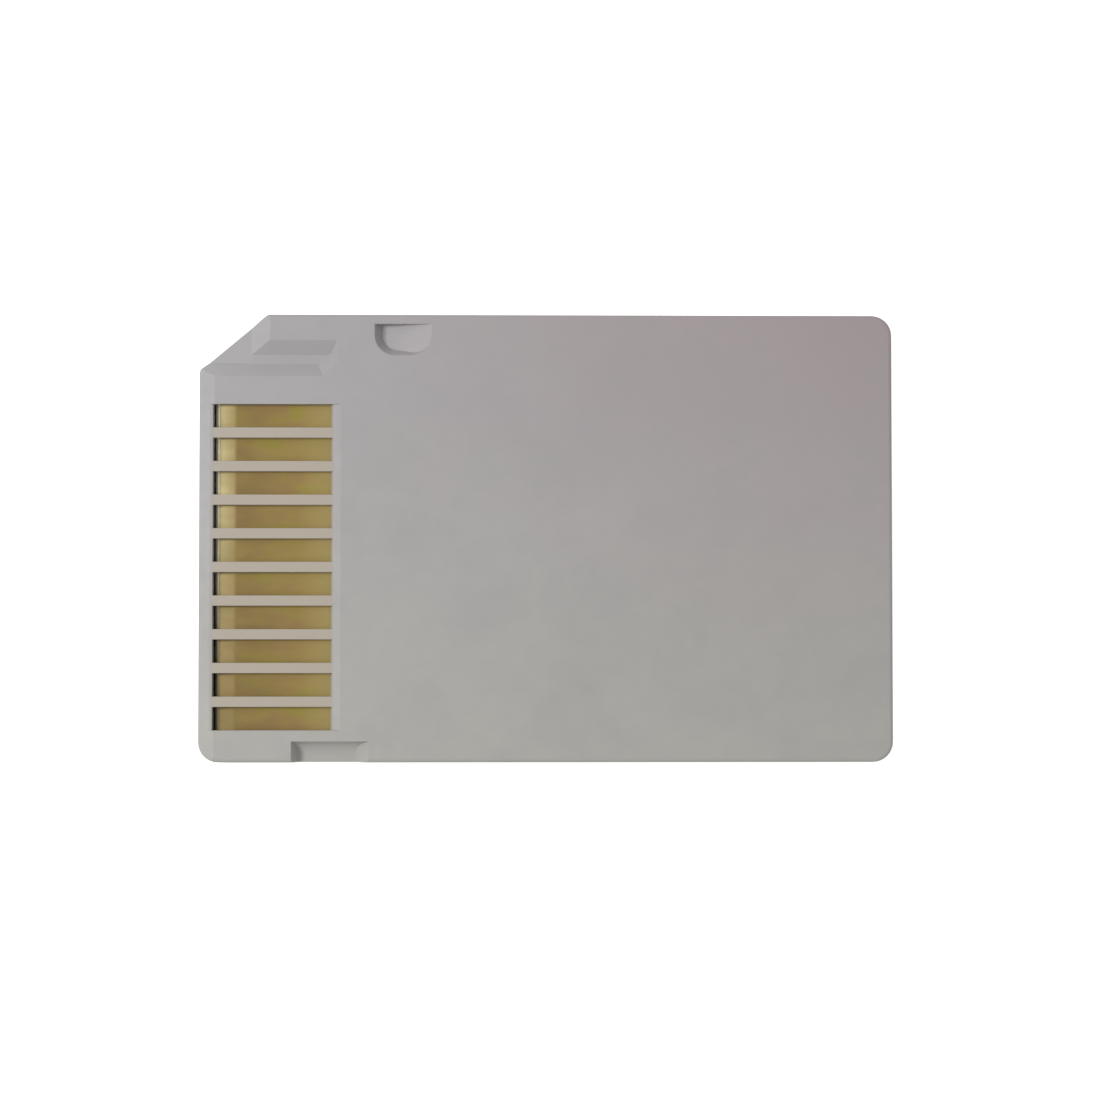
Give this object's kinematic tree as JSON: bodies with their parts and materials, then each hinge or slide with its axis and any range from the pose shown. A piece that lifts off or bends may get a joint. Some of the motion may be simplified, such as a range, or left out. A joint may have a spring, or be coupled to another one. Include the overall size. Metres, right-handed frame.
{
  "type": "memory card adapter",
  "caption": "Slim card-format adapter with a windowed contact end, keyed corner, guide groove, retention pocket and notch, and a rear slot with sprung contacts for a small memory card.",
  "frame": {"origin": "middle of the back cover's outer face, at the bottom centre of the bounding box", "axes": "+Z out of the contact face, +X along the length from the contact end towards the small card's mouth, +Y towards the long side with the key cut and the guide groove"},
  "size_m": [0.031, 0.02, 0.0016],
  "materials": {
    "housing_plastic": "matte",
    "gold_plate": "satin",
    "board_laminate": "satin",
    "comb_plastic": "matte",
    "chip_resin": "matte",
    "capacitor_ceramic": "satin",
    "resistor_body": "satin"
  },
  "bodies": {
    "adapter": {"contact_shell": "housing_plastic", "back_cover": "housing_plastic", "circuit_board": "board_laminate", "contact_comb": "comb_plastic", "controller_chip": "chip_resin", "terminal_1": "gold_plate", "terminal_2": "gold_plate", "terminal_3": "gold_plate", "terminal_4": "gold_plate", "terminal_5": "gold_plate", "terminal_6": "gold_plate", "terminal_7": "gold_plate", "terminal_8": "gold_plate", "terminal_9": "gold_plate", "terminal_10": "gold_plate", "capacitor_1": "capacitor_ceramic", "capacitor_2": "capacitor_ceramic", "capacitor_3": "capacitor_ceramic", "capacitor_4": "capacitor_ceramic", "resistor_1": "resistor_body", "resistor_2": "resistor_body"},
    "card_spring_1_body": {"card_spring_1": "gold_plate"},
    "card_spring_2_body": {"card_spring_2": "gold_plate"},
    "card_spring_3_body": {"card_spring_3": "gold_plate"},
    "card_spring_4_body": {"card_spring_4": "gold_plate"},
    "card_spring_5_body": {"card_spring_5": "gold_plate"},
    "card_spring_6_body": {"card_spring_6": "gold_plate"},
    "card_spring_7_body": {"card_spring_7": "gold_plate"},
    "card_spring_8_body": {"card_spring_8": "gold_plate"}
  },
  "joints": [
    {"name": "card_spring_1_flex", "type": "hinge", "parent": "adapter", "child": "card_spring_1_body", "pos_m": [-0.00305, 0.00385, 0.00082], "axis": [0, 1, 0], "range_deg": [0, 1.31], "stiffness_Nm_per_rad": 0.06},
    {"name": "card_spring_2_flex", "type": "hinge", "parent": "adapter", "child": "card_spring_2_body", "pos_m": [-0.00305, 0.00275, 0.00082], "axis": [0, 1, 0], "range_deg": [0, 1.31], "stiffness_Nm_per_rad": 0.06},
    {"name": "card_spring_3_flex", "type": "hinge", "parent": "adapter", "child": "card_spring_3_body", "pos_m": [-0.00305, 0.00165, 0.00082], "axis": [0, 1, 0], "range_deg": [0, 1.31], "stiffness_Nm_per_rad": 0.06},
    {"name": "card_spring_4_flex", "type": "hinge", "parent": "adapter", "child": "card_spring_4_body", "pos_m": [-0.00305, 0.00055, 0.00082], "axis": [0, 1, 0], "range_deg": [0, 1.31], "stiffness_Nm_per_rad": 0.06},
    {"name": "card_spring_5_flex", "type": "hinge", "parent": "adapter", "child": "card_spring_5_body", "pos_m": [-0.00305, -0.00055, 0.00082], "axis": [0, 1, 0], "range_deg": [0, 1.31], "stiffness_Nm_per_rad": 0.06},
    {"name": "card_spring_6_flex", "type": "hinge", "parent": "adapter", "child": "card_spring_6_body", "pos_m": [-0.00305, -0.00165, 0.00082], "axis": [0, 1, 0], "range_deg": [0, 1.31], "stiffness_Nm_per_rad": 0.06},
    {"name": "card_spring_7_flex", "type": "hinge", "parent": "adapter", "child": "card_spring_7_body", "pos_m": [-0.00305, -0.00275, 0.00082], "axis": [0, 1, 0], "range_deg": [0, 1.31], "stiffness_Nm_per_rad": 0.06},
    {"name": "card_spring_8_flex", "type": "hinge", "parent": "adapter", "child": "card_spring_8_body", "pos_m": [-0.00305, -0.00385, 0.00082], "axis": [0, 1, 0], "range_deg": [0, 1.31], "stiffness_Nm_per_rad": 0.06}
  ]
}
